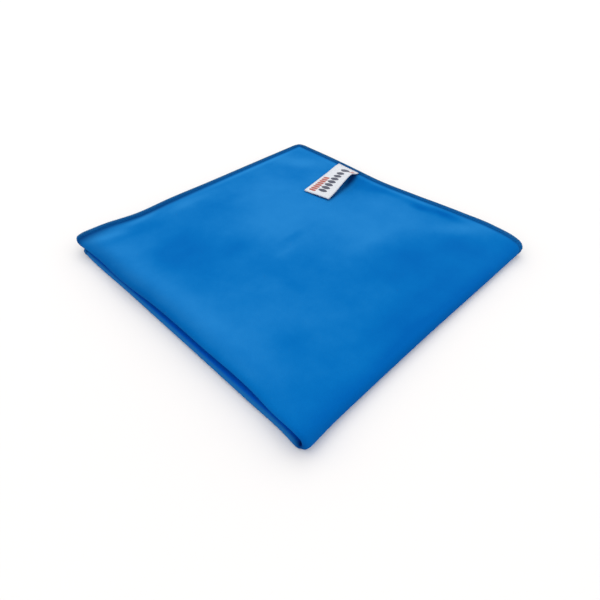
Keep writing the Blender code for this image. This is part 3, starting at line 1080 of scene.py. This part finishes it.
def thread_material(settings):
    """Loose bulked thread with fine filaments, with a painted highlight, lighter and greyer,
    where it turns over the cut edge.
    """
    material, tree, shader = new_material("overlock_thread")
    place = add_node(tree, "TexCoord").outputs["Object"]
    shade, height = add_fibres(tree, place, per_metre=5200.0, strength=0.8)
    lit = add_math(tree, "ADD", shade, 0.7)
    # Painted highlight: the thread turns lighter and greyer towards the cut edge.
    near_rim = add_ramp(tree, read_attribute(tree, "rim"), low=0.15, high=0.65)
    colour = add_mix(tree, near_rim, settings.colour, settings.rim_highlight_colour)
    looks = {
        "Base Color": darken_gaps(tree, lit, colour, kept=0.6),
        "Roughness": add_line(tree, lit, slope=-0.15, start=0.85),
        "Normal": add_bump(tree, height, distance=0.0001, strength=0.7),
        "Specular IOR Level": 0.05,
    }
    feed_all(tree, shader, looks)
    return material


def label_material(settings, ribbon):
    """White satin ribbon with fine ribs and its woven rows of dashes and lozenges."""
    material, tree, shader = new_material("label_satin")
    place = add_node(tree, "UVMap").outputs["UV"]
    colour = settings.colour
    for row in LABEL_ROWS:
        values = {
            "Start": (ribbon.long + row.start) * MM,
            "End": (ribbon.long + row.end) * MM,
            "Pitch": row.pitch * MM,
            "Across": row.across * MM,
            "Half Length": row.half_length * MM,
            "Half Width": row.half_width * MM,
            "Squareness": row.squareness,
        }
        woven = place_group(tree, "woven_row", row_group, place, values).outputs["Mask"]
        colour = add_mix(tree, woven, colour, getattr(settings, row.colour))
    values = {"Vector": place, "Scale": 1000.0, "Distortion": 0.3}
    ribs = add_node(tree, "TexWave", values, wave_type="BANDS", bands_direction="X")
    ribs = ribs.outputs["Fac"]
    shade, height = add_fibres(tree, place, per_metre=6000.0, strength=0.5)
    lit = add_line(tree, shade, slope=0.4, start=0.94)
    height = add_line(tree, height, slope=0.5, start=ribs)
    looks = {
        "Base Color": add_mix(tree, lit, RIBBON_SHADE, colour),
        "Roughness": add_line(tree, ribs, slope=0.1, start=0.42),
        "Normal": add_bump(tree, height, distance=0.00005, strength=0.6),
        "Specular IOR Level": 0.4,
    }
    feed_all(tree, shader, looks)
    return material


def floor_material(settings):
    """Plain pale floor with a very slight mottle."""
    material, tree, shader = new_material("studio_floor")
    place = add_node(tree, "TexCoord").outputs["Object"]
    mottle = add_noise(tree, place, scale=9.0, detail=2.0, roughness=0.5)
    paler = tuple(min(channel * 1.01, 1.0) for channel in settings.floor_colour)
    looks = {
        "Base Color": add_mix(tree, mottle, settings.floor_colour, paler),
        "Roughness": 0.9,
        "Specular IOR Level": 0.1,
    }
    feed_all(tree, shader, looks)
    return material


# ---- operators


class CLOTH_OT_make_sheet(bpy.types.Operator):
    """Make the folded sheet of cloth"""

    bl_idname = "folded_cloth.make_sheet"
    bl_label = "Make Folded Sheet"
    bl_options = {"REGISTER", "UNDO"}

    def execute(self, context):
        settings = context.scene.cloth_settings
        sheet = sizes_in(Sheet, settings)
        columns = ruled_lines(sheet, LEFT_TURN_LENGTH)
        rows = ruled_lines(sheet, RIGHT_TURN_LENGTH)
        piece = ruled_slab("folded_sheet", columns, rows)
        a, b, side = read_points(piece.data).T
        # The "brushed" numbers hold the nap's marks together with their painted highlights and
        # painted shade.
        keep_numbers(piece, "brushed", nap_with_painted_light(sheet, a, b))
        # The "pressed" numbers carry painted shade between the left edge's two rolls.
        keep_numbers(piece, "pressed", painted_crevice_shade(a))
        # Painted floor bounce light on the outside of the left edge's lower roll.
        keep_numbers(piece, "floor_bounce", painted_floor_bounce(a, b))
        # Under the thread the cloth takes its colour, and just inside it a painted shade of the
        # groove.
        keep_numbers(piece, "thread_and_groove_shade", thread_cover_and_groove_shade(sheet, a, b))
        move_points(piece, place_cloth(sheet, a, b, np.sign(side)))
        seam_colour = context.scene.thread_settings.colour
        middle = sheet.side / 4
        shadow_marks = [oval._replace(x=oval.x + middle, y=oval.y + middle) for oval in PAINTED_SHADOW_MARKS]
        material = microfibre_material(settings, seam_colour, shadow_marks)
        finish_piece(piece, material)
        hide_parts("cloth")
        return {"FINISHED"}


class CLOTH_OT_sew_overlock(bpy.types.Operator):
    """Sew the overlock thread round the cut edge"""

    bl_idname = "folded_cloth.sew_overlock"
    bl_label = "Sew Overlock Thread"
    bl_options = {"REGISTER", "UNDO"}

    def execute(self, context):
        settings = context.scene.thread_settings
        sheet = sizes_in(Sheet, context.scene.cloth_settings)
        ribbon = sizes_in(Ribbon, context.scene.label_settings)
        thickness = settings.thick / MM
        stitches = round(sheet.side * 4 / (settings.pitch / MM))
        routes = (
            looper_route(sheet, stitches, thickness, 1.0, ribbon),
            looper_route(sheet, stitches, thickness, -1.0, ribbon),
            needle_route(sheet, stitches, thickness, ribbon),
        )
        points = [np.stack(route, axis=1) * MM for route, to_edge in routes]
        piece = thread_mesh("overlock_thread", points, settings.thick)
        keep_ring_numbers(piece, "rim", np.concatenate([to_edge for route, to_edge in routes]))
        finish_piece(piece, thread_material(settings))
        return {"FINISHED"}


class CLOTH_OT_sew_label(bpy.types.Operator):
    """Make the ribbon label that is sewn into the right hem"""

    bl_idname = "folded_cloth.sew_label"
    bl_label = "Sew In Label"
    bl_options = {"REGISTER", "UNDO"}

    def execute(self, context):
        settings = context.scene.label_settings
        sheet = sizes_in(Sheet, context.scene.cloth_settings)
        ribbon = sizes_in(Ribbon, settings)
        layer = ribbon.long + LABEL_IN_SEAM
        columns = np.linspace(-LABEL_IN_SEAM, layer + ribbon.long, LABEL_STEPS_ALONG + 1)
        rows = np.linspace(-ribbon.wide / 2, ribbon.wide / 2, LABEL_STEPS_ACROSS + 1)
        piece = ruled_slab("label_ribbon", columns, rows)
        along, across, side = read_points(piece.data).T
        move_points(piece, place_ribbon(sheet, ribbon, along, across, np.sign(side)))
        finish_piece(piece, label_material(settings, ribbon))
        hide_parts("label")
        return {"FINISHED"}


class CLOTH_OT_set_stage(bpy.types.Operator):
    """Set up the floor, the light and the camera"""

    bl_idname = "folded_cloth.set_stage"
    bl_label = "Set Up Studio"
    bl_options = {"REGISTER", "UNDO"}

    def execute(self, context):
        settings = context.scene.stage_settings
        deselect_all()
        bpy.ops.mesh.primitive_plane_add(size=settings.floor_size)
        floor = context.object
        floor.name = "studio_floor"
        floor.data.materials.append(floor_material(settings))
        light_dome(context.scene, settings.dome_strength)
        hang_softbox(settings.softbox_power)
        place_camera(context.scene)
        context.scene.view_settings.view_transform = "Standard"
        return {"FINISHED"}


def light_dome(scene, strength):
    """Even white light from all round."""
    world = bpy.data.worlds.new("studio_dome")
    world.use_nodes = True
    background = world.node_tree.nodes["Background"]
    feed_all(world.node_tree, background, {"Color": WHITE, "Strength": strength})
    scene.world = world


def hang_softbox(power):
    """A large soft light high behind the cloth."""
    bpy.ops.object.light_add(type="AREA", location=SOFTBOX_PLACE)
    softbox = bpy.context.object
    softbox.name = "softbox"
    softbox.data.size = SOFTBOX_SIDE
    softbox.data.energy = power
    softbox.rotation_mode = "QUATERNION"
    softbox.rotation_quaternion = (-softbox.location).to_track_quat("-Z", "Y")


def place_camera(scene):
    """The camera, at the height and bearing from which the cloth is seen."""
    bearing = math.radians(CAMERA_BEARING)
    elevation = math.radians(CAMERA_ELEVATION)
    level = math.cos(elevation)
    back = Vector((math.sin(bearing) * level, -math.cos(bearing) * level, math.sin(elevation)))
    aim = Vector((CAMERA_AIM_X, CAMERA_AIM_Y, 0.0)) * MM
    bpy.ops.object.camera_add(location=aim + back * CAMERA_DISTANCE * MM)
    camera = bpy.context.object
    camera.name = "studio_camera"
    camera.data.sensor_width = SENSOR
    camera.data.lens = LENS
    camera.data.clip_start = CAMERA_NEAR
    camera.rotation_mode = "QUATERNION"
    camera.rotation_quaternion = (-back).to_track_quat("-Z", "Y")
    scene.camera = camera


class CLOTH_PT_sidebar(bpy.types.Panel):
    """The cloth's settings and steps, in the 3D view's sidebar"""

    bl_idname = "CLOTH_PT_sidebar"
    bl_label = "Folded Microfibre Cloth"
    bl_space_type = "VIEW_3D"
    bl_region_type = "UI"
    bl_category = "Cloth"

    def draw(self, context):
        for name, group in SETTINGS.items():
            box = self.layout.box()
            for setting in group.__annotations__:
                box.prop(getattr(context.scene, name), setting)
        for operator in OPERATORS:
            self.layout.operator(operator.bl_idname)


OPERATORS = (
    CLOTH_OT_make_sheet,
    CLOTH_OT_sew_overlock,
    CLOTH_OT_sew_label,
    CLOTH_OT_set_stage,
)
CLASSES = (*SETTINGS.values(), *OPERATORS, CLOTH_PT_sidebar)


def register():
    for kind in CLASSES:
        bpy.utils.register_class(kind)
    for name, settings in SETTINGS.items():
        setattr(bpy.types.Scene, name, bpy.props.PointerProperty(type=settings))


def unregister():
    for name in SETTINGS:
        delattr(bpy.types.Scene, name)
    for kind in reversed(CLASSES):
        bpy.utils.unregister_class(kind)


def main():
    register()
    deselect_all()
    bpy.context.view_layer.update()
    bpy.ops.folded_cloth.make_sheet()
    bpy.ops.folded_cloth.sew_overlock()
    bpy.ops.folded_cloth.sew_label()
    bpy.ops.folded_cloth.set_stage()
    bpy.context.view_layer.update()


if __name__ == "__main__":
    main()
